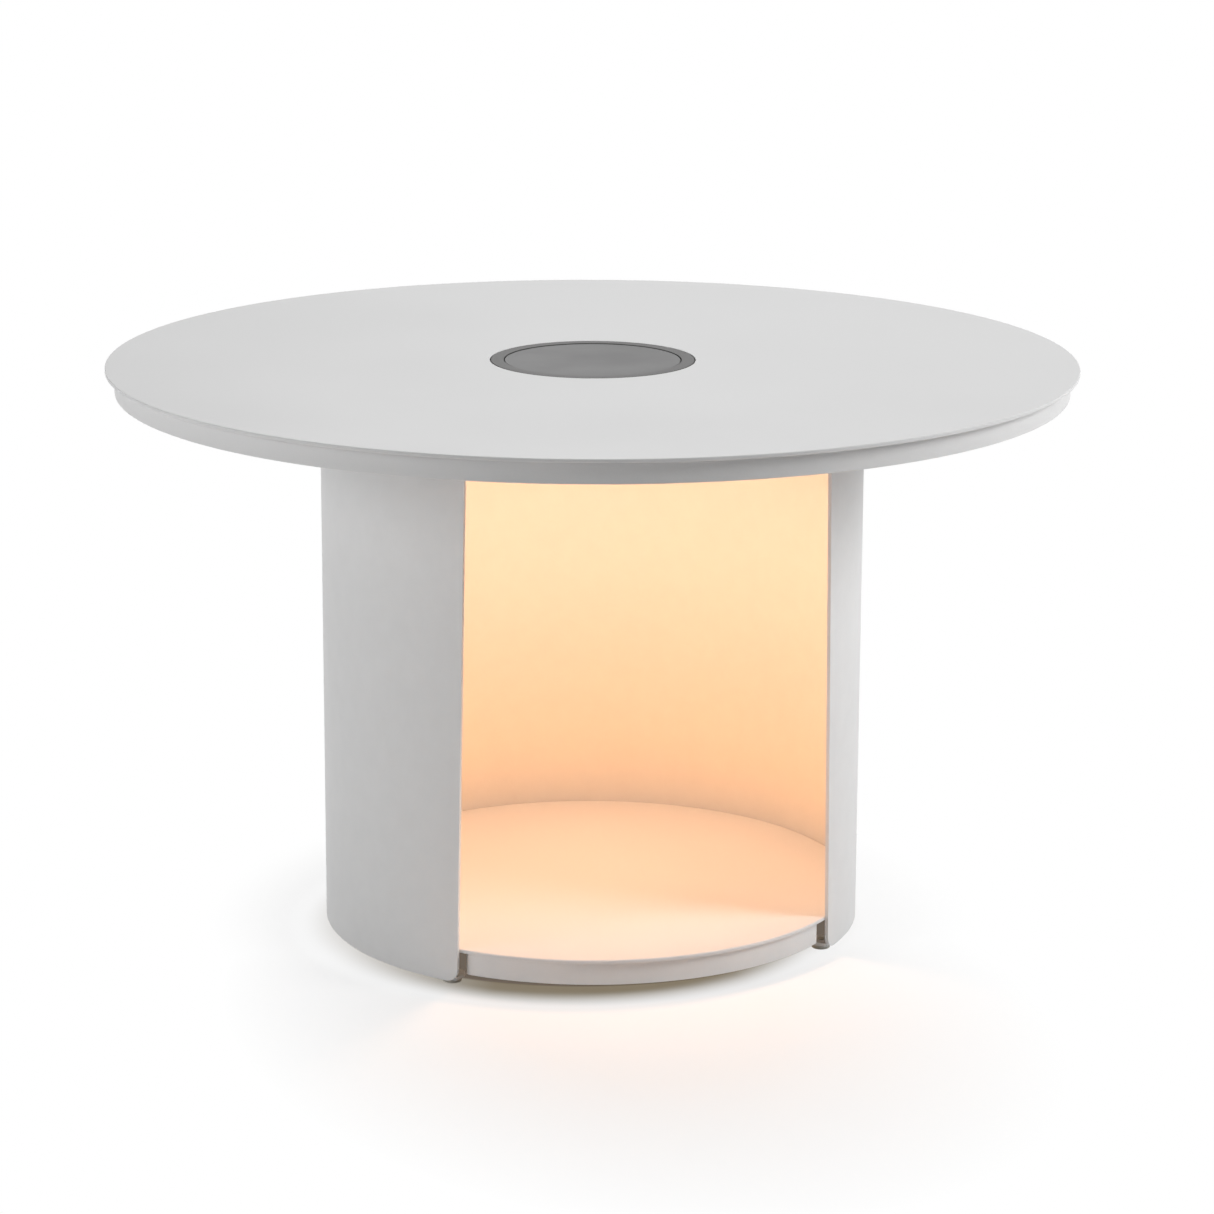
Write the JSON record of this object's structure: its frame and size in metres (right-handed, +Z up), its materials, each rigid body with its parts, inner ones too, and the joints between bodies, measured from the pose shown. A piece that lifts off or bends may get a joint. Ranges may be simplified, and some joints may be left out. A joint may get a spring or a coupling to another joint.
{
  "type": "low round table with built-in solar lamp",
  "caption": "Round low table: thin disc top with an inset skirt on an open-sided drum, and a flush lift-out solar lamp that lights the niche inside.",
  "frame": {"origin": "on the floor under the middle of the round top, on the lamp's axis", "axes": "+Z up, the drum's opening faces -Y, +X to the right of someone who looks into the opening"},
  "size_m": [0.8, 0.8, 0.478],
  "materials": {
    "coated_metal": "satin",
    "plated_steel": "satin",
    "glide_plastic": "matte",
    "dark_moulding": "satin",
    "etched_glass": "matte",
    "cell_laminate": "satin",
    "seal_rubber": "matte",
    "opal_diffuser": "satin",
    "board_white": "satin",
    "board_green": "satin",
    "battery_wrap": "satin",
    "nickel_strip": "satin",
    "lead_sheath": "satin",
    "button_rubber": "matte"
  },
  "bodies": {
    "table": {"top_plate": "coated_metal", "top_skirt": "coated_metal", "top_rib_1": "coated_metal", "top_rib_2": "coated_metal", "top_rib_3": "coated_metal", "top_rib_4": "coated_metal", "top_rib_5": "coated_metal", "top_rib_6": "coated_metal", "lamp_seat": "coated_metal", "drum_wall": "coated_metal", "drum_flange": "coated_metal", "flange_stud_1": "plated_steel", "flange_stud_2": "plated_steel", "flange_stud_3": "plated_steel", "flange_stud_4": "plated_steel", "flange_stud_5": "plated_steel", "flange_stud_6": "plated_steel", "flange_nut_1": "plated_steel", "flange_nut_2": "plated_steel", "flange_nut_3": "plated_steel", "flange_nut_4": "plated_steel", "flange_nut_5": "plated_steel", "flange_nut_6": "plated_steel", "floor_plate": "coated_metal", "floor_band": "coated_metal", "floor_ledge_1": "coated_metal", "floor_ledge_2": "coated_metal", "floor_ledge_3": "coated_metal", "foot_tab_1": "coated_metal", "foot_tab_2": "coated_metal", "foot_tab_3": "coated_metal", "foot_tab_4": "coated_metal", "glide_1": "glide_plastic", "glide_2": "glide_plastic", "glide_3": "glide_plastic", "glide_4": "glide_plastic"},
    "lamp": {"lamp_bezel": "dark_moulding", "solar_glass": "etched_glass", "solar_cell": "cell_laminate", "lamp_gasket": "seal_rubber", "lamp_housing": "dark_moulding", "housing_screw_1": "plated_steel", "housing_screw_2": "plated_steel", "housing_screw_3": "plated_steel", "housing_screw_4": "plated_steel", "diffuser": "opal_diffuser", "diffuser_seal": "seal_rubber", "led_board": "board_white", "battery_tray": "dark_moulding", "battery_cell_1": "battery_wrap", "battery_cell_2": "battery_wrap", "battery_cell_3": "battery_wrap", "battery_contact_1": "nickel_strip", "battery_contact_2": "nickel_strip", "control_board": "board_green", "switch_body": "dark_moulding", "solar_lead": "lead_sheath", "led_lead": "lead_sheath"},
    "button": {"switch_button": "button_rubber"}
  },
  "joints": [
    {"name": "lamp_lift", "type": "slide", "parent": "table", "child": "lamp", "axis": [0, 0, 1], "range_m": [0, 0.08]},
    {"name": "button_press", "type": "slide", "parent": "lamp", "child": "button", "axis": [0, 0, 1], "range_m": [0, 0.0015], "stiffness_N_per_m": 600}
  ]
}
